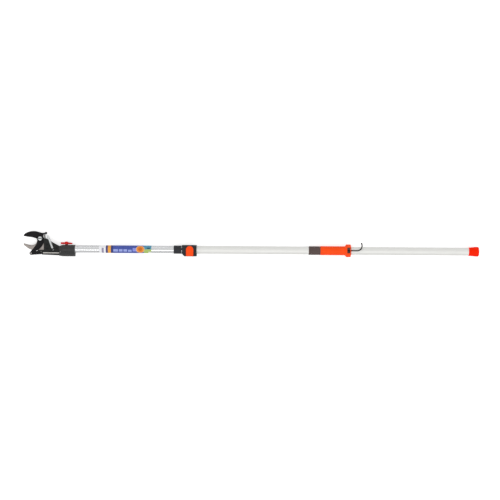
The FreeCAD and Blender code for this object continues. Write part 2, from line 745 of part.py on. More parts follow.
def lock_parts():
    """Clamp with a flip lever that holds the front tube at any length."""
    bore = front_r + d.run_gap
    nose_r = bore + d.nose_wall
    depth = d.lock_half_depth
    nose = rod(lock_x0, 0, 0, d.nose_length, nose_r)
    tab_x0 = lock_x0 + d.nose_length - 2
    tabs = common(block(tab_x0, housing_x0 + 2, -3, 6.5, -nose_r, nose_r), rod(tab_x0, 0, 0, 10, nose_r))
    shell = plate("lock_shell", [(housing_x0, d.lock_top - 2), (housing_x0 + 2, d.lock_top),
                                 (housing_x1, d.lock_top), (housing_x1, -d.lock_bottom),
                                 (housing_x0 + 10, -d.lock_bottom), (housing_x0, -15)],
                  -depth, depth * 2, is_node=False)
    core_y = (d.lock_top - d.lock_bottom) / 2
    rounded = common(shell, rod(housing_x0 - OVERCUT, core_y, 0, d.lock_length + 2 * OVERCUT, d.lock_round))
    ear = d.ear_thick
    ears = [block(x, x + ear, lever_pin_y - 3.6, lever_pin_y + 4.4, depth - OVERCUT, lever_pin_z + 3.4)
            for x in (lever_x0 - ear - d.side_gap, lever_x1 + d.side_gap)]
    pin_hole = rod(lever_x0 - ear * 2, lever_pin_y, lever_pin_z, d.lever_width + ear * 4,
                   d.lever_pin_dia / 2)
    front_hole = rod(lock_x0 - OVERCUT, 0, 0, outer_x0 - lock_x0 + 2 * OVERCUT, bore)
    outer_hole = rod(outer_x0, 0, 0, d.lock_length, outer_r + PRESS)
    middle = (lever_x0 + lever_x1) / 2
    shoe_r = d.shoe_dia / 2
    shoe_hole = rod(middle, 0, 0, depth + OVERCUT, shoe_r + d.slide_gap, CYLINDER_TO_Z)
    screw_r = d.screw_dia / 2
    screw_spots = (middle - d.screw_spacing / 2, middle + d.screw_spacing / 2)
    screw_holes = [rod(x, 0, -depth - OVERCUT, depth, screw_r, CYLINDER_TO_Z) for x in screw_spots]
    split = block(housing_x0 - OVERCUT, housing_x1 + OVERCUT, -d.lock_bottom - OVERCUT, -10, 8, 10)
    finished("lock_body", cut(fuse(nose, tabs, rounded, *ears), pin_hole, front_hole, outer_hole, shoe_hole,
                              split, *screw_holes))
    pin_r = d.lever_pin_dia / 2
    pin_length = d.lever_width + ear * 2
    turned("lever_pin", [(0, 0), (0, pin_r), (pin_length, pin_r), (pin_length, 0)],
           (lever_x0 - ear, lever_pin_y, lever_pin_z))
    half = d.lever_width / 2
    face_z = depth + d.side_gap
    arch_y = d.lever_reach - half
    leaf = fuse(block(lever_x0, lever_x1, lever_pin_y, arch_y, face_z, face_z + d.lever_thick),
                rod(middle, arch_y, face_z, d.lever_thick, half, CYLINDER_TO_Z),
                rod(lever_x0, lever_pin_y, lever_pin_z, d.lever_width, d.lever_barrel_dia / 2))
    barrel_hole = rod(lever_x0 - OVERCUT, lever_pin_y, lever_pin_z, d.lever_width + 2 * OVERCUT,
                      pin_r + d.run_gap)
    finished("lock_lever", cut(leaf, barrel_hole))
    shoe_length = depth - outer_r - 2 * d.slide_gap
    turned("clamp_shoe", [(0, 0), (0, shoe_r), (shoe_length, shoe_r), (shoe_length, 0)],
           (middle, 0, outer_r + d.slide_gap), ALONG_Z)
    screws = []
    for x in screw_spots:
        screws.append(fuse(rod(x, 0, -depth, depth - outer_r - d.slide_gap, screw_r, CYLINDER_TO_Z),
                           rod(x, 0, -depth - d.screw_head_thick, d.screw_head_thick, d.screw_head_dia / 2,
                               CYLINDER_TO_Z)))
    group("lock_screws", screws)


# ---------------------------------------------------------------- outer tube and sliding grip
def outer_tube():
    """Outer tube with two slots for the grip's cross pin and clamping slits at its front end."""
    tube = turned("outer_blank", ring_profile(outer_x0, outer_x1, outer_bore, outer_r), is_node=False)
    width = d.cross_pin_dia / 2 + d.side_gap
    reach = outer_r + OVERCUT
    slot = block(cross_x, cross_x + d.stroke, -reach, reach, -width, width)
    ends = [rod(x, -reach, 0, reach * 2, width, CYLINDER_TO_Y) for x in (cross_x, cross_x + d.stroke)]
    slit = block(outer_x0 - OVERCUT, outer_x0 + 40, 0, reach, -0.8, 0.8)
    finished("outer_tube", cut(tube, slot, slit, *ends))


hook_r = d.hook_wire / 2
hook_x0 = flange_x0 + 10
hook_y = size(0.4)
hook_z = outer_r + d.hook_clearance
hook_bend_x = grip_x1 + d.hook_standout


def grip_parts():
    """Orange grip with its flange on a dark carrier, and the pin that ties it to the draw tube."""
    flange_r = d.flange_dia / 2
    recess = grip_x1 - d.flange_recess
    rim_r = flange_r - d.flange_rim
    pin_r = d.cross_pin_dia / 2
    sleeve = ring_profile(carrier_x0, recess, carrier_bore, carrier_r)
    carrier = turned("carrier_blank", sleeve, is_node=False)
    carrier_hole = rod(cross_x, -flange_r, 0, d.flange_dia, pin_r, CYLINDER_TO_Y)
    finished("grip_carrier", cut(carrier, carrier_hole))
    bell = [(grip_x0, carrier_r), (recess, carrier_r), (recess, rim_r), (grip_x1, rim_r),
            (grip_x1, flange_r - 1.5), (grip_x1 - 4, flange_r), (flange_x0 + 10, flange_r),
            (flange_x0 + 5, flange_r - 2.5), (flange_x0, cover_r), (grip_x0 + 2, cover_r),
            (grip_x0, cover_r - 0.5)]
    cover = turned("cover_blank", bell, is_node=False)
    pin_hole = rod(cross_x, -rim_r, 0, d.flange_dia, pin_r, CYLINDER_TO_Y)
    pocket = block(hook_x0 - OVERCUT, grip_x1 - 3, -10, 13, hook_z - hook_r - 0.5, flange_r + OVERCUT)
    exit_hole = rod(grip_x1 - d.flange_rim, hook_y, hook_z, 6, hook_r)
    finished("grip_cover", cut(cover, pin_hole, pocket, exit_hole))
    turned("cross_pin", [(0, 0), (0, pin_r), (rim_r * 2, pin_r), (rim_r * 2, 0)], (cross_x, -rim_r, 0),
           ALONG_Y)


def hanging_hook():
    """Wire hook that stands out behind the grip's flange and curls up past the tube."""
    shank = rod(hook_x0, hook_y, hook_z, hook_bend_x - hook_x0, hook_r)
    bend = doc.addObject("Part::Torus", "Bend")
    bend.setExpression("Radius1", d.hook_radius.text)
    bend.setExpression("Radius2", hook_r.text)
    bend.Angle3 = HOOK_SWEEP
    quarter_back = App.Rotation(Vector(0, 0, 1), -90)
    place(bend, hook_bend_x, hook_y + d.hook_radius, hook_z, quarter_back, shifted=False)
    tip = doc.addObject("Part::Sphere", "Tip")
    tip.setExpression("Radius", hook_r.text)
    over = math.radians(HOOK_SWEEP - 90)
    place(tip, hook_bend_x + d.hook_radius * math.cos(over), hook_y + d.hook_radius * (1 + math.sin(over)),
          hook_z, shifted=False)
    finished("hanging_hook", fuse(shank, bend, tip))


# ---------------------------------------------------------------- draw linkage inside the pole
def draw_parts():
    """Rod and tube that carry the grip's pull to the head at any pole length."""
    rod_r = d.draw_rod_dia / 2
    bore = rod_r + d.slide_gap
    rod_x0 = crosshead_x0 + d.rod_seat
    rod_x1 = cross_x - d.rod_setback
    turned("draw_rod", [(rod_x0, 0), (rod_x0, rod_r), (rod_x1, rod_r), (rod_x1, 0)])
    tube_r = d.draw_tube_od / 2
    tube_x0 = clutch_x0 + 4
    tube = turned("draw_blank", ring_profile(tube_x0, cross_x + 8, bore, tube_r), is_node=False)
    pin_hole = rod(cross_x, -tube_r - 1, 0, d.draw_tube_od + 2, d.cross_pin_dia / 2, CYLINDER_TO_Y)
    finished("draw_tube", cut(tube, pin_hole))
    clutch_x1 = clutch_x0 + d.clutch_length
    turned("draw_clutch", [(clutch_x0, bore), (tube_x0, bore), (tube_x0, tube_r), (clutch_x1, tube_r),
                           (clutch_x1, front_bore - d.slide_gap), (clutch_x0, front_bore - d.slide_gap)])


# ---------------------------------------------------------------- end cap
def end_cap():
    """Hollow cap over the rear end of the outer tube, flared towards its flat end."""
    skirt_r = d.cap_skirt_dia / 2
    end_r = d.cap_end_dia / 2
    mouth = outer_r + PRESS
    turned("end_cap", [(cap_x0, mouth), (outer_x1, mouth), (outer_x1, 0), (cap_x1, 0), (cap_x1, end_r - 3.5),
                       (cap_x1 - 1.5, end_r - 1), (cap_x1 - 4.5, end_r), (cap_x1 - 9, end_r),
                       (cap_x0 + 6, skirt_r), (cap_x0, skirt_r)])


moving_blade()
fixed_jaw()
pivot_parts()
head_body()
cross_bolt_group()
spring_parts()
drive_parts()
crosshead()
base_collar()
wing_bolt()
front_tube_parts()
lock_parts()
outer_tube()
grip_parts()
hanging_hook()
draw_parts()
end_cap()

doc.recompute()

# ---------------------------------------------------------------- check and write
broken = [item.Label for item in doc.Objects if {"Invalid", "Error"} & set(item.State)]
if broken:
    raise RuntimeError(f"these objects failed to compute: {broken}")
os.makedirs("parts", exist_ok=True)
for item in nodes:
    if item.Shape.isNull() or not item.Shape.isValid():
        raise RuntimeError(f"{item.Label} has no valid shape")
for item in nodes:
    item.Shape.exportStep(f"parts/{item.Label}.step")
print(len(nodes), "sub-parts written")
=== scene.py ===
import json
import math

import bmesh
import bpy
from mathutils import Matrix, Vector


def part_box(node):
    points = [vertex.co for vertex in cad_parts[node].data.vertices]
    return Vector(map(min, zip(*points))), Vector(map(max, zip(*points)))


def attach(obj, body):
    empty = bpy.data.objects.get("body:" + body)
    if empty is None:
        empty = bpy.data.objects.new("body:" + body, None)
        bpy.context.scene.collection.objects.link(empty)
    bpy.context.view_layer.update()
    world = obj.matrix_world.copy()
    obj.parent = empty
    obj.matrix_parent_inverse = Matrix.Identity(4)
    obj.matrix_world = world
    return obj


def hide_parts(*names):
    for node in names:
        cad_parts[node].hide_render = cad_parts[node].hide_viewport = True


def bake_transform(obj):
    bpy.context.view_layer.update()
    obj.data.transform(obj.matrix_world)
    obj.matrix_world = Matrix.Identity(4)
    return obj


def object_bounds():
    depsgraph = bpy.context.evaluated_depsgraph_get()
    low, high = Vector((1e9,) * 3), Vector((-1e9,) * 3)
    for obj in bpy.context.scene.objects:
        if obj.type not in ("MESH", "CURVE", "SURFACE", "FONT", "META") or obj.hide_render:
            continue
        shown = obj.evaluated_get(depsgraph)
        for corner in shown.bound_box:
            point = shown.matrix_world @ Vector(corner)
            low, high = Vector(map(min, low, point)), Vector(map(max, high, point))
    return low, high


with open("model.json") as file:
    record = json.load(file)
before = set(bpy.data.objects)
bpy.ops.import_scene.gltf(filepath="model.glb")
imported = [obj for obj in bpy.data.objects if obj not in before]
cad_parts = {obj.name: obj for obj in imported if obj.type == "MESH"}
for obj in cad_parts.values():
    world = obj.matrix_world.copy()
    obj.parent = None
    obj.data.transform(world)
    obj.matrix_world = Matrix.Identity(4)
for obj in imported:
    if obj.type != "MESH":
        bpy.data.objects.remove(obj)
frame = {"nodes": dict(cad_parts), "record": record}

CAD_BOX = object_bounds()
MM = 0.001
nodes = frame["nodes"]

# ---------------------------------------------------------------- places read from the frame
BODY_OF = {node: body
           for body, members in frame["record"]["behaviour"]["bodies"].items()
           for node in members}
SLOT_OF = {row["node"]: row["material_slot"] for row in frame["record"]["subparts"]}


def middle(node):
    low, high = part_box(node)
    return (low + high) / 2


HEAD_X = middle("pivot_bolt").x
AXIS_Y = middle("outer_tube").y
AXIS_Z = middle("outer_tube").z

# tube radii, in mm
FRONT_R = 15.1
FRONT_BORE = 14.1
OUTER_R = 16.0
OUTER_BORE = 15.2
LABEL_R = 15.2


def at(x, y, z=0.0):
    """Millimetres from the jaw pivot along the pole, across it and above its axis, in the frame."""
    return Vector((HEAD_X + x * MM, AXIS_Y + y * MM, AXIS_Z + z * MM))


def on_axis(x):
    """The point of the pole's axis at this frame x."""
    return Vector((x, AXIS_Y, AXIS_Z))


def turned_size(node):
    """Length and radius in mm of a node that is round about the pole's axis."""
    low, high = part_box(node)
    return (high.x - low.x) / MM, (high.z - low.z) / 2 / MM


# ---------------------------------------------------------------- material helpers
LIGHT = 0.99        # how much brighter than its own colour a matt surface facing the camera is lit


def tone(red, green, blue, gloss=0.0):
    """Base colour of a surface that is to look like this 0-255 colour under the stage's light."""
    out = []
    for channel in (red, green, blue):
        value = channel / 255
        linear = value / 12.92 if value < 0.04045 else ((value + 0.055) / 1.055) ** 2.4
        out.append(max(0.0, linear / LIGHT - gloss))
    return tuple(out)


class Nodes:
    """A material's node tree with short calls to add and join nodes."""

    def __init__(self, name):
        self.material = bpy.data.materials.new(name)
        self.material.use_nodes = True
        self.tree = self.material.node_tree
        self.shader = self.tree.nodes["Principled BSDF"]

    def add(self, kind, **settings):
        made = self.tree.nodes.new(kind)
        for key, value in settings.items():
            if key in made.inputs:
                made.inputs[key].default_value = value
            else:
                setattr(made, key, value)
        return made

    def join(self, source, target):
        self.tree.links.new(source, target)

    def coords(self, scale=(1, 1, 1)):
        """Object coordinates, stretched by scale."""
        place = self.add("ShaderNodeTexCoord")
        mapping = self.add("ShaderNodeMapping")
        mapping.inputs["Scale"].default_value = scale
        self.join(place.outputs["Object"], mapping.inputs["Vector"])
        return mapping.outputs["Vector"]

    def axis(self, name, origin=0.0):
        """One object coordinate measured from origin, in metres."""
        split = self.add("ShaderNodeSeparateXYZ")
        self.join(self.coords(), split.inputs["Vector"])
        return self.maths("SUBTRACT", split.outputs[name], origin)

    def maths(self, operation, first, second=0.0):
        made = self.add("ShaderNodeMath", operation=operation)
        self.feed(first, made.inputs[0])
        self.feed(second, made.inputs[1])
        return made.outputs["Value"]

    def inside(self, source, low, high):
        """1 where a value lies between low and high, else 0."""
        above = self.maths("GREATER_THAN", source, low)
        return self.maths("MULTIPLY", above, self.maths("LESS_THAN", source, high))

    def noise(self, scale, detail=3.0, stretch=(1, 1, 1), rough=0.5):
        made = self.add("ShaderNodeTexNoise", Scale=scale, Detail=detail, Roughness=rough)
        self.join(self.coords(stretch), made.inputs["Vector"])
        return made.outputs["Fac"]

    def span(self, source, low, high, from_low=0.3, from_high=0.7):
        """Map a value's middle range to low..high."""
        made = self.add("ShaderNodeMapRange")
        made.inputs["From Min"].default_value = from_low
        made.inputs["From Max"].default_value = from_high
        made.inputs["To Min"].default_value = low
        made.inputs["To Max"].default_value = high
        self.join(source, made.inputs["Value"])
        return made.outputs["Result"]

    def mix(self, factor, first, second):
        """Mix two colours, each a socket or an (r, g, b)."""
        made = self.add("ShaderNodeMix", data_type="RGBA")
        self.feed(factor, made.inputs[0])
        self.feed(first, made.inputs[6])
        self.feed(second, made.inputs[7])
        return made.outputs[2]

    def feed(self, value, socket):
        if isinstance(value, bpy.types.NodeSocket):
            self.join(value, socket)
        elif isinstance(value, tuple) and len(value) == 3:
            socket.default_value = (*value, 1)
        else:
            socket.default_value = value

    def bump(self, height, strength, distance):
        made = self.add("ShaderNodeBump", Strength=strength, Distance=distance)
        self.join(height, made.inputs["Height"])
        self.join(made.outputs["Normal"], self.shader.inputs["Normal"])
        return made

    def set(self, **values):
        for key, value in values.items():
            self.feed(value, self.shader.inputs[key.replace("_", " ")])


def shade(colour, factor):
    return tuple(channel * factor for channel in colour)


WORN = {}


def coated(name, colour, roughness=0.42, level=0.2, worn=None):
    """Painted or coated metal: fine orange peel, mottled gloss, and a lighter rubbed finish for edges."""
    m = Nodes(name)
    m.set(Base_Color=m.mix(m.span(m.noise(60, 4), 0, 1), shade(colour, 0.85), shade(colour, 1.15)),
          Roughness=m.span(m.noise(180, 5), roughness - 0.06, roughness + 0.08),
          Specular_IOR_Level=level)
    m.bump(m.noise(1400, 2), 0.2, 0.0002)
    if worn:
        WORN[m.material.name] = coated(name + "_edge", worn, roughness, level)
    return m.material


def metal(name, colour, roughness=0.28, grain=(1, 1, 1), grain_scale=900, variation=0.04, depth=0.1,
          uneven=1.0):
    """Bare or plated metal with a drawn or ground grain; uneven scales how much its gloss varies."""
    m = Nodes(name)
    darker, lighter = shade(colour, 1 - variation), shade(colour, 1 + variation)
    m.set(Base_Color=m.mix(m.span(m.noise(40, 4), 0, 1), darker, lighter), Metallic=1.0,
          Roughness=m.span(m.noise(grain_scale, 3, grain), roughness - 0.04 * uneven,
                           roughness + 0.06 * uneven))
    m.bump(m.noise(grain_scale, 3, grain), depth, 0.0002)
    return m.material


def moulded(name, colour, roughness=0.45, level=0.2, grain=2200, depth=0.2, coat=0.0):
    """Moulded plastic: fine spark-eroded grain and slight flow mottling."""
    m = Nodes(name)
    m.set(Base_Color=m.mix(m.span(m.noise(22, 3), 0, 1), shade(colour, 0.95), shade(colour, 1.05)),
          Roughness=m.span(m.noise(260, 4), roughness - 0.05, roughness + 0.08),
          Specular_IOR_Level=level, Coat_Weight=coat)
    m.bump(m.noise(grain, 2), depth, 0.0002)
    return m.material


BLADE_BLACK = coated("blade_black", tone(36, 35, 36, 0.008), 0.46, 0.12, tone(74, 73, 73))
GROUND_EDGE = coated("ground_edge", tone(58, 58, 60, 0.006), 0.4, 0.3)
JAW_STEEL = metal("jaw_steel", tone(172, 164, 159), 0.4, (1, 10, 1), 900, 0.05, 0.15)
JAW_EDGE = metal("jaw_edge", tone(186, 180, 176), 0.34, (1, 12, 1), 1200)
BRIGHT_STEEL = metal("bright_steel", tone(206, 203, 199), 0.3, (0.05, 1, 1), 900, 0.03, 0.04)
BOLT_STEEL = metal("bolt_steel", tone(214, 218, 218), 0.42)
SPRING_STEEL = metal("spring_steel", tone(240, 243, 243), 0.3)
DARK_STEEL = coated("dark_steel", tone(40, 40, 41, 0.01), 0.4, 0.15, tone(84, 84, 84))
HEAD_DARK = coated("head_dark", tone(47, 48, 47, 0.01), 0.42, 0.14, tone(78, 80, 80))
COLLAR_DARK = moulded("collar_dark", tone(58, 58, 58, 0.014), 0.28, 0.34, depth=0.12)
KNOB_RED = moulded("knob_red", tone(204, 40, 40, 0.012), 0.3, 0.22, coat=0.1)
FRONT_ALUMINIUM = metal("front_aluminium", tone(220, 221, 222), 0.26, (0.02, 1, 1), 700, 0.01, 0.0, 0.25)
OUTER_ALUMINIUM = metal("outer_aluminium", tone(237, 237, 234), 0.66, (0.02, 1, 1), 700, 0.01, 0.01)
LOCK_DARK = moulded("lock_dark", tone(56, 57, 60, 0.011), 0.4, 0.16)
ORANGE = moulded("orange_plastic", tone(255, 83, 30, 0.007), 0.42, 0.14)
CAP_ORANGE = moulded("cap_orange", tone(253, 42, 0, 0.004), 0.5, 0.06)
SLEEVE_DARK = moulded("sleeve_dark", tone(97, 83, 80, 0.012), 0.52, 0.16)
HOOK_WIRE = coated("hook_wire", tone(44, 43, 43, 0.008), 0.4, 0.14)


def printed_film():
    """Printed wrap with plain fields of colour only."""
    m = Nodes("label_film")
    along = m.axis("X", at(0, 0).x)
    turn = m.maths("ARCTAN2", m.axis("Y", AXIS_Y), m.axis("Z", AXIS_Z))
    across = m.maths("MULTIPLY", turn, LABEL_R * MM)
    field = tone(70, 86, 166)
    colour = m.mix(m.span(m.noise(30, 2), 0, 1), shade(field, 0.95), shade(field, 1.05))

    def patch(colour, x0, x1, y0, y1, tint):
        """A plain field between two places along the pole and two round the tube, in mm."""
        area = m.maths("MULTIPLY", m.inside(along, x0 * MM, x1 * MM), m.inside(across, y0 * MM, y1 * MM))
        return m.mix(area, colour, tone(*tint))

    half_turn = 60      # mm round the tube, more than half its girth
    pale_bar = (156, 168, 226)
    for x0, x1, y0, y1, tint in (
        (200, 262, -half_turn, half_turn, (240, 240, 243)),
        (246, 254, -20, 5, (152, 146, 172)),
        (262, 270, -half_turn, half_turn, (68, 66, 124)),
        (270, 282, -half_turn, half_turn, (240, 170, 72)),
        (282, 290, -half_turn, half_turn, (52, 60, 120)),
        (292, 310, -10, 0, pale_bar),
        (314, 328, -10, 0, pale_bar),
        (332, 346, -10, 0, pale_bar),
        (350, 364, -11, -2, (150, 164, 224)),
        (368, 388, -9, 5, (140, 146, 222)),
        (412, 460, 0, half_turn, (84, 150, 178)),
        (412, 460, -half_turn, 0, (170, 196, 108)),
        (424, 436, 2, 7, (40, 70, 84)),
        (430, 460, -half_turn, -10, (226, 230, 220)),
    ):
        colour = patch(colour, x0, x1, y0, y1, tint)
    disc_x = 0.398
    east = m.maths("SUBTRACT", along, disc_x)
    east_squared = m.maths("MULTIPLY", east, east)
    reach = m.maths("SQRT", m.maths("ADD", east_squared, m.maths("MULTIPLY", across, across)))
    for radius, tint in ((0.0165, (238, 196, 150)), (0.0145, (236, 140, 54)), (0.0075, (206, 106, 36))):
        colour = m.mix(m.maths("LESS_THAN", reach, radius), colour, tone(*tint))
    m.set(Base_Color=colour, Roughness=m.span(m.noise(300, 3), 0.3, 0.4), Specular_IOR_Level=0.25)
    m.bump(m.noise(500, 2), 0.05, 0.0002)
    return m.material


LABEL = printed_film()

MATERIAL_OF_SLOT = {
    "blade_black": BLADE_BLACK, "jaw_steel": JAW_STEEL, "bright_steel": BRIGHT_STEEL,
    "dark_steel": DARK_STEEL, "head_dark": HEAD_DARK, "collar_dark": COLLAR_DARK, "knob_red": KNOB_RED,
    "front_aluminium": FRONT_ALUMINIUM, "outer_aluminium": OUTER_ALUMINIUM, "label_film": LABEL,
    "lock_dark": LOCK_DARK, "orange_plastic": ORANGE, "sleeve_dark": SLEEVE_DARK, "hook_wire": HOOK_WIRE,
}


# ---------------------------------------------------------------- piece helpers
def paint(piece, material):
    """The finish, and the worn finish of its edges where it has one."""
    piece.data.materials.clear()
    piece.data.materials.append(material)
    if material.name in WORN:
        piece.data.materials.append(WORN[material.name])


def even_normals(piece):
    """Shade large flat faces flat and let the rounded edges carry the turn."""
    step = piece.modifiers.new("normals", "WEIGHTED_NORMAL")
    step.keep_sharp = True
    step.weight = 100


def publish(piece, node, material=None, *more_nodes):
    """Give a finished piece its material, body and CAD node."""
    if material or not piece.data.materials:
        paint(piece, material or MATERIAL_OF_SLOT[SLOT_OF[node]])
    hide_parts(node, *more_nodes)
    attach(piece, BODY_OF[node])
    return piece


def new_piece(name, mesh):
    piece = bpy.data.objects.new(name, mesh)
    bpy.context.scene.collection.objects.link(piece)
    return piece


def smooth_by_angle(mesh, degrees=32):
    """Smooth shading with sharp edges kept."""
    for face in mesh.polygons:
        face.use_smooth = True
    mesh.set_sharp_from_angle(angle=math.radians(degrees))


def mesh_of(name, shape, degrees=32):
    """Finish a bmesh as a piece."""
    bmesh.ops.recalc_face_normals(shape, faces=shape.faces)
    mesh = bpy.data.meshes.new(name)
    shape.to_mesh(mesh)
    shape.free()
    smooth_by_angle(mesh, degrees)
    return new_piece(name, mesh)


def cad_shape(node):
    """A copy of a CAD node's mesh with its flat faces whole."""
    shape = bmesh.new()
    shape.from_mesh(nodes[node].data)
    bmesh.ops.remove_doubles(shape, verts=shape.verts, dist=0.00002)
    bmesh.ops.dissolve_limit(shape, angle_limit=math.radians(1.0), verts=shape.verts,
                             edges=shape.edges)
    return shape


def round_edges(shape, width, segments=2, angle=34):
    """Bevel the sharp edges; the bevel's faces take the worn finish, slot 1."""
    bmesh.ops.bevel(shape, geom=sharp_corners(shape, angle), offset=width, segments=segments,
                    profile=0.5, affect="EDGES", clamp_overlap=True, material=1)
    bmesh.ops.triangulate(shape, faces=[face for face in shape.faces if len(face.verts) > 4])


def eased(node, width=0.4 * MM, segments=2, angle=34, material=None):
    """The CAD node's own shape with its sharp edges eased, as the real piece's are."""
    shape = cad_shape(node)
    round_edges(shape, width, segments, angle)
    piece = mesh_of(node + "_piece", shape)
    even_normals(piece)
    return publish(piece, node, material)


def sharp_corners(shape, angle):
    """Edges between two faces that turn by more than angle, in degrees."""
    limit = math.radians(angle)
    return [edge for edge in shape.edges
            if len(edge.link_faces) == 2 and edge.calc_face_angle(0) > limit]


def carved(piece, *cutters):
    """Cut other meshes out of a piece and keep the result as plain mesh."""
    for cutter in cutters:
        step = piece.modifiers.new("cut", "BOOLEAN")
        step.operation = "DIFFERENCE"
        step.solver = "EXACT"
        step.object = cutter
    bpy.context.view_layer.update()
    evaluated = piece.evaluated_get(bpy.context.evaluated_depsgraph_get())
    result = bpy.data.meshes.new_from_object(evaluated)
    piece.modifiers.clear()
    piece.data = result
    for cutter in cutters:
        bpy.data.objects.remove(cutter)
    smooth_by_angle(result)
    return piece


def lathe(name, start, along, profile, sides=64):
    """Turned piece: profile is (distance, radius) in mm from start; radius 0 closes on the axis."""
    along = Vector(along).normalized()
    side = along.orthogonal().normalized()
    up = along.cross(side)
    shape = bmesh.new()
    rings = []
    for distance, radius in profile:
        centre = start + along * distance * MM
        if radius == 0:
            rings.append([shape.verts.new(centre)] * sides)
            continue
        ring = []
        for index in range(sides):
            angle = 2 * math.pi * index / sides
            outward = side * math.cos(angle) + up * math.sin(angle)
            ring.append(shape.verts.new(centre + outward * radius * MM))
        rings.append(ring)
    for first, second in zip(rings, rings[1:]):
        for index in range(sides):
            after = (index + 1) % sides
            corners = [first[index], first[after], second[after], second[index]]
            unique = list(dict.fromkeys(corners))
            if len(unique) > 2:
                shape.faces.new(unique)
    return mesh_of(name, shape)


def ring_lathe(name, start, along, profile, sides=64):
    """Turned ring: the profile closes on itself."""
    return lathe(name, start, along, [*profile, profile[0]], sides)


def box(name, low, high, width=0.0):
    """Box between two corners, with eased edges."""
    shape = bmesh.new()
    bmesh.ops.create_cube(shape, size=1.0)
    for vert in shape.verts:
        vert.co = Vector([low[i] if vert.co[i] < 0 else high[i] for i in range(3)])
    if width:
        bmesh.ops.bevel(shape, geom=shape.edges[:], offset=width, segments=3, profile=0.5,
                        affect="EDGES")
    return mesh_of(name, shape)


def skin(shape, first, second):
    """Faces between two rings with the same count of points."""
    sides = len(first)
    for step in range(sides):
        after = (step + 1) % sides
        shape.faces.new([first[step], first[after], second[after], second[step]])


def wire(name, points, radius, sides):
    """Round wire along a path, with rounded tips."""
    shape = bmesh.new()
    normal = None
    rings = []
    for index, point in enumerate(points):
        before = points[max(index - 1, 0)]
        after = points[min(index + 1, len(points) - 1)]
        run = (after - before).normalized()
        if normal:
            normal = (normal - run * normal.dot(run)).normalized()
        else:
            normal = run.orthogonal().normalized()
        across = run.cross(normal)
        ring = []
        for step in range(sides):
            turn = 2 * math.pi * step / sides
            outward = normal * math.cos(turn) + across * math.sin(turn)
            ring.append(shape.verts.new(point + outward * radius))
        rings.append(ring)
    for first, second in zip(rings, rings[1:]):
        skin(shape, first, second)
    for ring, tip, before_tip in ((rings[0], points[0], points[1]), (rings[-1], points[-1], points[-2])):
        way = (tip - before_tip).normalized()
        last = ring
        for lift, shrink in ((0.5, 0.87), (0.87, 0.5)):
            raised = [shape.verts.new(tip + (vert.co - tip) * shrink + way * radius * lift)
                      for vert in ring]
            skin(shape, last, raised)
            last = raised
        shape.faces.new(last)
    return mesh_of(name, shape, 60)


def loft(name, sections, sides=24, power=2.6):
    """Solid through rounded sections: each is (centre, half vector one, half vector two)."""
    shape = bmesh.new()
    rings = []
    for centre, one, two in sections:
        ring = []
        for step in range(sides):
            turn = 2 * math.pi * step / sides
            c, s = math.cos(turn), math.sin(turn)
            a = math.copysign(abs(c) ** (2 / power), c)
            b = math.copysign(abs(s) ** (2 / power), s)
            ring.append(shape.verts.new(centre + one * a + two * b))
        rings.append(ring)
    for first, second in zip(rings, rings[1:]):
        skin(shape, first, second)
    shape.faces.new(rings[0])
    shape.faces.new(rings[-1])
    return mesh_of(name, shape, 40)


for name, cad in nodes.items():
    paint(cad, MATERIAL_OF_SLOT[SLOT_OF[name]])


# ---------------------------------------------------------------- stage, light and camera
def stage():
    """Pale floor, a soft sky and two long strip lights."""
    size = 6.0
    mesh = bpy.data.meshes.new("floor")
    corners = [(-size, -size, 0), (size, -size, 0), (size, size, 0), (-size, size, 0)]
    mesh.from_pydata(corners, [], [(0, 1, 2, 3)])
    floor = new_piece("floor", mesh)
    floor.location.z = -0.0005
    m = Nodes("floor")
    m.set(Base_Color=(0.95, 0.95, 0.95), Roughness=1.0, Specular_IOR_Level=0.0)
    m.set(Emission_Color=(1.0, 1.0, 1.0))
    path = m.add("ShaderNodeLightPath")
    m.set(Emission_Strength=m.maths("MULTIPLY", path.outputs["Is Camera Ray"], 0.45))
    paint(floor, m.material)

    world = bpy.data.worlds.new("studio")
    bpy.context.scene.world = world
    world.use_nodes = True
    tree = world.node_tree
    back = tree.nodes["Background"]
    where = tree.nodes.new("ShaderNodeTexCoord")
    split = tree.nodes.new("ShaderNodeSeparateXYZ")
    tree.links.new(where.outputs["Generated"], split.inputs["Vector"])
    ramp = tree.nodes.new("ShaderNodeValToRGB")
    ramp.color_ramp.elements[0].position = 0.0
    ramp.color_ramp.elements[0].color = (0.66, 0.66, 0.67, 1)
    ramp.color_ramp.elements[1].position = 0.8
    ramp.color_ramp.elements[1].color = (1, 1, 1, 1)
    tree.links.new(split.outputs["Z"], ramp.inputs["Fac"])
    tree.links.new(ramp.outputs["Color"], back.inputs["Color"])
    back.inputs["Strength"].default_value = 0.84

    for name, spot, power, length, width in (
        ("long_key", (0.0, -1.9, 3.0), 34, 6.0, 1.1),
        ("long_fill", (0.0, 3.2, 2.0), 10, 6.0, 0.8),
    ):
        data = bpy.data.lights.new(name, "AREA")
        data.energy = power
        data.shape = "RECTANGLE"
        data.size = length
        data.size_y = width
        light = bpy.data.objects.new(name, data)
        light.location = spot
        light.rotation_euler = (math.atan2(spot[1], spot[2]) * -1, 0, 0)
        bpy.context.scene.collection.objects.link(light)


FRAME_PER_TOOL = 1.0989      # the view is this much wider than the tool
AIM_X = -0.0041
AIM_Y = 0.0005               # from the pole's axis
ROLL = 0.41                  # degrees by which the tool lies askew in the view


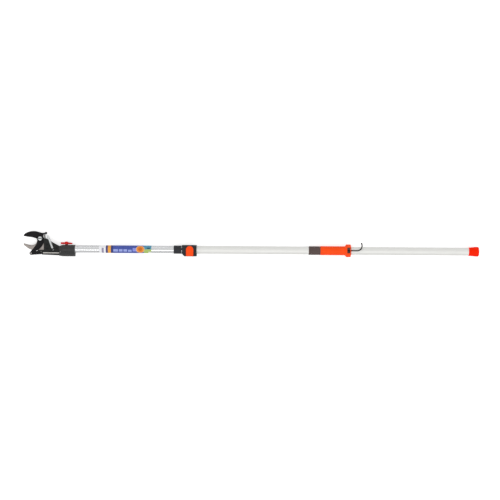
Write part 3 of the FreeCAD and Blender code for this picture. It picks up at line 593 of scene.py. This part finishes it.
def camera():
    """Straight down on the tool, turned by the small angle at which the tool lies in the frame."""
    data = bpy.data.cameras.new("camera")
    data.lens = 85
    data.sensor_width = 36
    data.clip_end = 50
    seen_width = (CAD_BOX[1].x - CAD_BOX[0].x) * FRAME_PER_TOOL
    height = AXIS_Z + seen_width * data.lens / data.sensor_width
    made = bpy.data.objects.new("camera", data)
    made.location = (AIM_X, AXIS_Y + AIM_Y, height)
    made.rotation_euler = (0, 0, math.radians(ROLL))
    bpy.context.scene.collection.objects.link(made)
    bpy.context.scene.camera = made


stage()
camera()
bpy.context.scene.view_settings.view_transform = "Standard"


# ---------------------------------------------------------------- jaws
def path_length(points):
    return sum((b - a).length for a, b in zip(points, points[1:]))


def outline_of(node):
    """The outer edge of a CAD plate's lower face, as points in order."""
    shape = cad_shape(node)
    loops = []
    rim = [edge for edge in shape.edges
           if any(face.normal.z < -0.9 for face in edge.link_faces)
           and any(abs(face.normal.z) < 0.3 for face in edge.link_faces)]
    left = set(rim)
    while left:
        edge = left.pop()
        loop = [edge.verts[0], edge.verts[1]]
        while True:
            following = [other for other in loop[-1].link_edges if other in left]
            if not following:
                break
            left.discard(following[0])
            loop.append(following[0].other_vert(loop[-1]))
        loops.append([vert.co.copy() for vert in loop])
    longest = max(loops, key=path_length)
    shape.free()
    if (longest[0] - longest[-1]).length < 1e-6:
        longest.pop()
    area = sum(a.x * b.y - b.x * a.y for a, b in zip(longest, longest[1:] + longest[:1]))
    return longest if area > 0 else longest[::-1]


def ground_plate(node, sharp, width, leave, upper, material, edge_material):
    """Plate with one edge ground to a bevel: sharp(point) tells which outline points it covers."""
    low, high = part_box(node)
    points = outline_of(node)
    flags = [sharp(point) for point in points]
    start = next(i for i in range(len(points)) if flags[i] and not flags[i - 1])
    points = points[start:] + points[:start]
    flags = flags[start:] + flags[:start]
    cut = [point for point, flag in zip(points, flags) if flag]
    rest = [point for point, flag in zip(points, flags) if not flag]
    lengths = [0.0]
    for first, second in zip(cut, cut[1:]):
        lengths.append(lengths[-1] + (second - first).length)
    inner = []
    for index, point in enumerate(cut):
        before = cut[max(index - 1, 0)]
        after = cut[min(index + 1, len(cut) - 1)]
        run = (after - before).normalized()
        inward = Vector((-run.y, run.x, 0))
        share = lengths[index] / lengths[-1]
        taper = min(1.0, share * 5, (1 - share) * 4)
        inner.append(point + inward * width * (0.15 + 0.85 * math.sin(taper * math.pi / 2)))
    face_z, far_z = (high.z, low.z) if upper else (low.z, high.z)
    step = leave if upper else -leave
    shape = bmesh.new()

    def ring(path, z):
        return [shape.verts.new((point.x, point.y, z)) for point in path]

    rest_far, rest_near = ring(rest, far_z), ring(rest, face_z)
    cut_far, cut_lip, cut_near = ring(cut, far_z), ring(cut, far_z + step), ring(inner, face_z)
    shape.faces.new(cut_far + rest_far)
    shape.faces.new(cut_near + rest_near)
    for one, two in ((rest_far, rest_near), (cut_far, cut_lip)):
        for index in range(len(one) - 1):
            shape.faces.new([one[index], one[index + 1], two[index + 1], two[index]])
    ground = []
    for index in range(len(cut_lip) - 1):
        ground.append(shape.faces.new([cut_lip[index], cut_lip[index + 1],
                                       cut_near[index + 1], cut_near[index]]))
    shape.faces.new([cut_far[-1], rest_far[0], rest_near[0], cut_near[-1], cut_lip[-1]])
    shape.faces.new([rest_far[-1], cut_far[0], cut_lip[0], cut_near[0], rest_near[-1]])
    for face in ground:
        face.material_index = 1
    bmesh.ops.recalc_face_normals(shape, faces=shape.faces)
    bmesh.ops.bevel(shape, geom=sharp_corners(shape, 60), offset=0.35 * MM, segments=2, profile=0.5,
                    affect="EDGES", clamp_overlap=True)
    bmesh.ops.triangulate(shape, faces=[face for face in shape.faces if len(face.verts) > 4])
    piece = mesh_of(node + "_piece", shape, 14)
    piece.data.materials.clear()
    piece.data.materials.append(material)
    piece.data.materials.append(edge_material)
    even_normals(piece)
    return publish(piece, node)


def on_blade_edge(point):
    """The hooked lower edge of the blade, from its tip to the pivot."""
    return at(-63.4, 0).x < point.x < at(-12, 0).x and at(0, 33).y < point.y < at(0, 53).y


def on_jaw_edge(point):
    """The upper edge of the fixed jaw, above a line that slopes along the plate."""
    slope = (point.x - at(-33, 0).x) * -0.14 - 0.003
    return (at(-63, 0).x < point.x < at(-17, 0).x and at(0, 13.2).y < point.y < at(0, 24).y
            and point.y - at(0, 13.2).y > slope)


ground_plate("moving_blade", on_blade_edge, 4.2 * MM, 0.5 * MM, True, BLADE_BLACK, GROUND_EDGE)
ground_plate("fixed_jaw", on_jaw_edge, 3.0 * MM, 1.2 * MM, True, JAW_STEEL, JAW_EDGE)


def dome(node, start, along, shank, head, radius, shank_radius, slot=0.0, material=None):
    """Round-headed pin: shank and domed head lengths in mm, with an optional screwdriver slot whose bottom
    holds a dark box as painted shade.
    """
    profile = [(0, 0), (0, shank_radius - 0.3), (0.3, shank_radius), (shank, shank_radius),
               (shank, radius - 0.25), (shank + 0.25, radius), (shank + head * 0.35, radius)]
    steps = 6
    for step in range(1, steps + 1):
        turn = step / steps * math.pi / 2
        size = radius * math.cos(turn) ** 0.6 if step < steps else 0
        profile.append((shank + head * (0.35 + 0.65 * math.sin(turn)), size))
    piece = lathe(node + "_piece", start, along, profile, 48)
    if slot:
        top = start + Vector(along).normalized() * (shank + head) * MM
        cutter = box("slot_cutter", top - Vector((radius * 1.2, slot / 2, 2.4)) * MM,
                     top + Vector((radius * 1.2, slot / 2, 1.0)) * MM)
        carved(piece, cutter)
        # Dark box on the slot's bottom: painted shade in the slot, whose inside is the bolt's own steel.
        floor = box(node + "_slot_painted_shade", top - Vector((radius * 0.8, slot / 2 - 0.05, 2.3)) * MM,
                    top + Vector((radius * 0.8, slot / 2 - 0.05, -1.5)) * MM)
        publish(floor, node, DARK_STEEL)
    return publish(piece, node, material)


def pin_span(node):
    """Lowest point on a pin's axis and its length in mm."""
    low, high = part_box(node)
    centre = (low + high) / 2
    return Vector((centre.x, centre.y, low.z)), (high.z - low.z) / MM


def pins():
    spot, length = pin_span("pivot_bolt")
    dome("pivot_bolt", spot, (0, 0, 1), length - 4, 4, 8.4, 4, 2.8, BOLT_STEEL)
    spot, length = pin_span("crank_pin")
    dome("crank_pin", spot, (0, 0, 1), length - 0.9, 0.9, 2.7, 2.2, material=BRIGHT_STEEL)
    spot, length = pin_span("rod_pin")
    dome("rod_pin", spot, (0, 0, 1), length - 0.9, 0.9, 2.6, 1.95, material=DARK_STEEL)
    for node, finish in (("spring_peg", BRIGHT_STEEL), ("spring_post", DARK_STEEL)):
        spot, length = pin_span(node)
        dome(node, spot, (0, 0, 1), length - 1.2, 1.2, 2.8, 1.95, material=finish)


pins()


# ---------------------------------------------------------------- spring
def spring():
    """Close-wound wire coil with a ring over the blade's peg and a hook round the head's post."""
    low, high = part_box("return_spring")
    plane = (low.z + high.z) / 2
    peg = middle("spring_peg")
    post = middle("spring_post")
    peg.z = post.z = plane
    wire_r = 0.64 * MM
    pitch = 1.34 * MM
    coil_r = 3.6 * MM
    ring_r = 7.55 * MM
    hook_r = 2.65 * MM
    neck = 2.2 * MM         # between the coil's end and its ring or hook
    ring_centre = peg + Vector((ring_r - hook_r, 0, 0))
    coil_start = ring_centre + Vector((ring_r + neck, 2.4 * MM, 0))
    pull = (post - coil_start).normalized()
    coil_end = post - pull * (hook_r + neck)
    up = Vector((0, 0, 1))
    side = pull.cross(up)
    path = []
    ring_steps = 44
    facing = math.atan2(coil_start.y - ring_centre.y, coil_start.x - ring_centre.x)
    for step in range(ring_steps + 1):
        turn = facing + math.radians(14) + math.radians(338) * step / ring_steps
        path.append(ring_centre + Vector((math.cos(turn), math.sin(turn), 0)) * ring_r)
    per_turn = 14
    coil_steps = int((coil_end - coil_start).length / pitch) * per_turn
    for step in range(coil_steps + 1):
        turn = 2 * math.pi * step / per_turn + math.pi / 2
        grow = min(1.0, 0.25 + step / per_turn, 0.25 + (coil_steps - step) / per_turn)
        centre = coil_start.lerp(coil_end, step / coil_steps)
        path.append(centre + (side * math.cos(turn) + up * math.sin(turn)) * coil_r * grow)
    hook_steps = 24
    reach = math.atan2(-pull.y, -pull.x)
    for step in range(hook_steps + 1):
        turn = reach - math.radians(20) - math.radians(300) * step / hook_steps
        path.append(post + Vector((math.cos(turn), math.sin(turn), 0)) * hook_r)
    piece = wire("return_spring_piece", path, wire_r, 8)
    paint(piece, SPRING_STEEL)
    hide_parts("return_spring")
    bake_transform(piece)


spring()


# ---------------------------------------------------------------- head, collar and wing knob
eased("pivot_washer", 0.25 * MM, 3, material=DARK_STEEL)
for name, width in (("head_body", 0.9), ("pivot_nut", 0.5), ("cross_nuts", 0.4),
                    ("drive_link", 0.5), ("pull_rod", 0.35), ("crosshead", 0.4), ("tube_guide", 0.3)):
    eased(name, width * MM, 3)
eased("base_collar", 1.3 * MM, 4)


def screws(node, spots, plane, along, shank, head, radius, shank_radius, material):
    """Several button-head screws with hexagon sockets, as one node's pieces."""
    socket_deep = 1.2
    socket_r = radius * 0.42
    made = []
    for index, (x, y) in enumerate(spots):
        start = Vector((x, y, plane))
        profile = [(0, 0), (0, shank_radius), (shank, shank_radius), (shank, radius - 0.2),
                   (shank + 0.25, radius), (shank + head * 0.45, radius),
                   (shank + head * 0.8, radius * 0.8), (shank + head, radius * 0.5), (shank + head, 0)]
        screw = lathe(f"{node}_{index + 1}", start, along, profile, 40)
        top = start + Vector(along) * (shank + head) * MM
        socket = lathe("socket_cutter", top - Vector(along) * socket_deep * MM, along,
                       [(0, 0), (0, socket_r), (2 * socket_deep, socket_r), (2 * socket_deep, 0)], 6)
        made.append(carved(screw, socket))
    for screw in made:
        publish(screw, node, material)


def fasteners():
    """Three bolts across the head, and two screws that fix the length lock from below."""
    low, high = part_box("cross_bolts")
    head = 2.2
    spots = [(HEAD_X + x * MM, AXIS_Y + y * MM) for x, y in ((28, 17), (30, 1), (66, 2))]
    shank = (high.z - low.z) / MM - head
    screws("cross_bolts", spots, low.z, (0, 0, 1), shank, head, 4.1, 2.45, DARK_STEEL)
    low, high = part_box("lock_screws")
    head = 2
    radius = 3.7
    from_end = 3.8 * MM
    shank = (high.z - low.z) / MM - head
    spots = [(low.x + from_end, AXIS_Y), (high.x - from_end, AXIS_Y)]
    screws("lock_screws", spots, high.z, (0, 0, -1), shank, head, radius, 1.95, BRIGHT_STEEL)


fasteners()


def wing_knob():
    """Moulded knob: domed hub with two flat wings that thin towards rounded tips."""
    low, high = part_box("wing_knob")
    centre = middle("wing_knob")
    base = low.y + 0.5 * MM
    height = (high.y - low.y) / MM
    profile = [(0, 0), (0, 6.2), (0.6, 6.9), (3, 7.9), (height - 3.4, 7.2), (height - 1.4, 6.4),
               (height - 0.4, 4.6), (height - 0.1, 3.2), (height - 0.8, 2.4), (height - 0.8, 0)]
    hub = lathe("wing_knob_hub", Vector((centre.x, low.y, centre.z)), (0, 1, 0), profile, 48)
    publish(hub, "wing_knob")
    wing_length = 23.4
    rise = 3.9
    for way, drop in ((-1, 0.0), (1, 0.9)):
        sections = []
        for share, half_height, half_thick in (
            (0.10, 4.1, 3.4), (0.3, 4.0, 3.1), (0.5, 4.0, 2.9), (0.7, 4.0, 2.9),
            (0.86, 3.9, 2.9), (0.94, 3.4, 2.5), (0.98, 2.4, 1.7), (1.0, 1.1, 0.8),
        ):
            spot = Vector((centre.x + way * share * wing_length * MM,
                           base + (rise - drop * share) * MM, centre.z))
            upward = Vector((0, (half_height - drop * share) * MM, 0))
            sections.append((spot, upward, Vector((0, 0, half_thick * MM))))
        publish(loft(f"wing_knob_wing_{'left' if way < 0 else 'right'}", sections), "wing_knob")


def wing_stud():
    """Threaded stem of the wing knob."""
    low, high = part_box("wing_stud")
    centre = middle("wing_stud")
    length = (high.y - low.y) / MM
    profile = [(0, 0), (0, 3.2)]
    ridge = 0.35
    while ridge < length - 0.8:
        profile += [(ridge, 3.4), (ridge + 0.45, 3.9)]
        ridge += 0.9
    profile += [(length, 3.4), (length, 0)]
    stud = lathe("wing_stud_piece", Vector((centre.x, low.y, centre.z)), (0, 1, 0), profile, 32)
    publish(stud, "wing_stud")


wing_knob()
wing_stud()


# ---------------------------------------------------------------- tubes, label and sleeve
def turned_on_axis(node, profile):
    """Turned piece on the pole's axis; its profile closes on itself."""
    start = on_axis(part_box(node)[0].x)
    publish(ring_lathe(node + "_piece", start, (1, 0, 0), profile, 96), node)


def drawn_tube(node, bore, radius):
    """Plain tube with broken edges at both ends."""
    low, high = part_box(node)
    length = (high.x - low.x) / MM
    profile = [(0, bore), (0, radius - 0.2), (0.2, radius), (length - 0.2, radius),
               (length, radius - 0.2), (length, bore)]
    return ring_lathe(node + "_piece", on_axis(low.x), (1, 0, 0), profile, 128)


def front_tube():
    """Bright tube with the rod's slot cut from its front end, on the side the rod lies."""
    tube = drawn_tube("front_tube", FRONT_BORE, FRONT_R)
    start = on_axis(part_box("front_tube")[0].x)
    half = 5.2
    slot = box("slot_cutter", start + Vector((-1, -30, -half)) * MM, start + Vector((30.7, -8, half)) * MM)
    publish(carved(tube, slot), "front_tube")


def outer_tube():
    """Matt tube with a slot through both walls for the cross pin and a clamping slit at its front."""
    tube = drawn_tube("outer_tube", OUTER_BORE, OUTER_R)
    pin = on_axis(middle("cross_pin").x)
    half = 2.8
    slots = box("slot_cutter", pin + Vector((-half, -20, -half)) * MM, pin + Vector((32.5, 20, half)) * MM)
    start = on_axis(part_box("outer_tube")[0].x)
    half = 0.8
    slit = box("slit_cutter", start + Vector((-1, 0, -half)) * MM, start + Vector((40, 20, half)) * MM)
    publish(carved(tube, slots, slit), "outer_tube")


def label_film():
    """Thin film round the front tube, with edges that taper to the metal."""
    length, radius = turned_size("label_film")
    turned_on_axis("label_film", [(0, radius - 0.1), (0.3, radius), (length - 0.3, radius),
                                  (length, radius - 0.1)])


def grip_carrier():
    """Sleeve under the grip, with three fine grooves."""
    length, radius = turned_size("grip_carrier")
    wall = 0.95
    depth = 0.4
    profile = [(0, radius - wall), (0, radius - 0.5), (0.6, radius)]
    for groove in (4, 8, 40):
        profile += [(groove, radius), (groove + 0.3, radius - depth), (groove + 1.0, radius - depth),
                    (groove + 1.3, radius)]
    profile += [(length, radius), (length, radius - wall)]
    turned_on_axis("grip_carrier", profile)


front_tube()
outer_tube()
label_film()
grip_carrier()


# ---------------------------------------------------------------- length lock
def lock_lever():
    """Flip lever: an arched leaf with a rounded free end, a hinge barrel and three finger ribs."""
    low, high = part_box("lock_lever")
    centre = middle("lock_lever")
    half = (high.x - low.x) / 2 / MM
    span = (high.y - low.y) / MM
    face = high.z - 4.6 * MM
    root = 2.2              # where the leaf starts, behind the barrel
    arch = span - half      # from here on the leaf's sides follow a half circle
    sections = []
    for share in (0.0, 0.05, 0.12, 0.25, 0.4, 0.52, 0.62, 0.7, 0.78, 0.85, 0.91, 0.955, 0.985, 1.0):
        y = root + (span - root) * share
        over = max(0.0, y - arch)
        wide = math.sqrt(max(half * half - over * over, 0.4))
        belly = math.sin(share * math.pi)
        thinned = 0.9 if share >= 0.985 else 0.0
        thick = min(2.1 + 0.5 * belly - thinned, 2.35)
        spot = Vector((centre.x, low.y + y * MM, face + (2.15 + 0.35 * belly) * MM))
        sections.append((spot, Vector((wide * MM, 0, 0)), Vector((0, 0, thick * MM))))
    publish(loft("lock_lever_leaf", sections, 36, 5.0), "lock_lever")

    hole, outside = 1.6, 3.5
    profile = [(0, hole), (0, outside - 0.5), (0.5, outside), (2 * half - 0.5, outside),
               (2 * half, outside - 0.5), (2 * half, hole), (0, hole)]
    hinge = Vector((low.x, low.y + 3.6 * MM, high.z - 4.1 * MM))
    publish(lathe("lock_lever_barrel", hinge, (1, 0, 0), profile, 40), "lock_lever")

    for index, offset in enumerate((8.5, 11.5, 14.5)):
        over = max(0.0, span - offset - arch)
        reach = math.sqrt(max(half ** 2 - over ** 2, 1)) - 4
        points = [Vector((centre.x + part * reach * MM, high.y - offset * MM, face + 4.75 * MM))
                  for part in (-1, -0.5, 0, 0.5, 1)]
        publish(wire(f"lock_lever_rib_{index + 1}", points, 0.7 * MM, 12), "lock_lever")


eased("lock_body", 1.1 * MM, 3)
eased("lever_pin", 0.2 * MM)
eased("clamp_shoe", 0.3 * MM)
lock_lever()


# ---------------------------------------------------------------- grip, hook and end cap
def grip():
    """Ribbed cover with a flange, and the pocket in its end that holds the hook's foot, with a dark sheet
    on the pocket's floor as painted shade.
    """
    low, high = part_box("grip_cover")
    length, rim = turned_size("grip_cover")
    inner = 17.12
    body = 17.9
    flange = 24.5
    groove = 0.45
    profile = [(0, inner), (0, body - 0.5), (0.8, body)]
    ribs_to = 80
    rib = 8.0
    while rib < ribs_to:
        profile += [(rib, body), (rib + 0.5, body - groove), (rib + 1.5, body - groove), (rib + 2.0, body)]
        rib += 9.5
    start = length - flange
    profile += [(start - 3, body), (start, body + 0.15), (start + 2, body + 1.4), (start + 4, rim - 3.0),
                (start + 6, rim - 0.9), (start + 8, rim - 0.1), (start + 10, rim), (length - 5, rim),
                (length - 2.2, rim - 0.35), (length - 0.6, rim - 1.4), (length, rim - 2.6),
                (length, rim - 4), (length - 8, rim - 4), (length - 8, inner)]
    cover = ring_lathe("grip_cover_piece", on_axis(low.x), (1, 0, 0), profile, 96)
    end = on_axis(high.x)
    pocket = box("pocket_cutter", end + Vector((-15.5, -10, 17.6)) * MM, end + Vector((-3, 13, 30)) * MM,
                 1.2 * MM)
    hole = lathe("hole_cutter", end + Vector((-5, 0.4, 20.4)) * MM, (1, 0, 0),
                 [(0, 0), (0, 2.5), (8, 2.5), (8, 0)], 24)
    publish(carved(cover, pocket, hole), "grip_cover")
    # Dark sheet on the pocket's floor: painted shade in the recess.
    pocket_shade_sheet = box("grip_pocket_painted_shade", end + Vector((-15.1, -9.6, 17.5)) * MM,
                 end + Vector((-3.4, 12.6, 17.8)) * MM)
    publish(pocket_shade_sheet, "grip_carrier")


def hook():
    """Wire that runs straight along the tube, then bends away from it."""
    low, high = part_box("hanging_hook")
    plane = (low.z + high.z) / 2
    start = Vector((low.x, AXIS_Y + 0.4 * MM, plane))
    bend_x = at(1253.5, 0).x
    bend_r = 20 * MM
    bend_turn = math.radians(120)
    points = [start.lerp(Vector((bend_x, start.y, plane)), step / 6) for step in range(7)]
    for step in range(1, 25):
        turn = bend_turn * step / 24
        points.append(Vector((bend_x + bend_r * math.sin(turn), start.y + bend_r * (1 - math.cos(turn)),
                              plane)))
    publish(wire("hanging_hook_piece", points, 2.38 * MM, 20), "hanging_hook")


def cap():
    """Cap that widens towards a rounded end, with a groove round its mouth."""
    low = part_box("end_cap")[0]
    length, rim = turned_size("end_cap")
    bore = 16.05
    skirt = 16.8
    wall = length - 5       # where the closed end starts inside
    profile = [(wall, 0), (wall, bore), (0, bore), (0, skirt - 0.4), (0.5, skirt), (4, skirt),
               (4.4, skirt - 0.35), (5.2, skirt - 0.35), (5.6, skirt)]
    for step in range(1, 9):
        share = step / 8
        profile.append((5.6 + (length - 15) * share, skirt + (rim - skirt) * share ** 1.3))
    profile += [(length - 5, rim), (length - 3, rim - 0.35), (length - 1.4, rim - 1.3),
                (length - 0.4, rim - 2.8), (length, rim - 4.8), (length, rim - 9),
                (length - 0.5, rim - 9.6), (length - 0.5, 0)]
    piece = lathe("end_cap_piece", on_axis(low.x), (1, 0, 0), profile, 96)
    publish(piece, "end_cap", CAP_ORANGE)


grip()
hook()
cap()
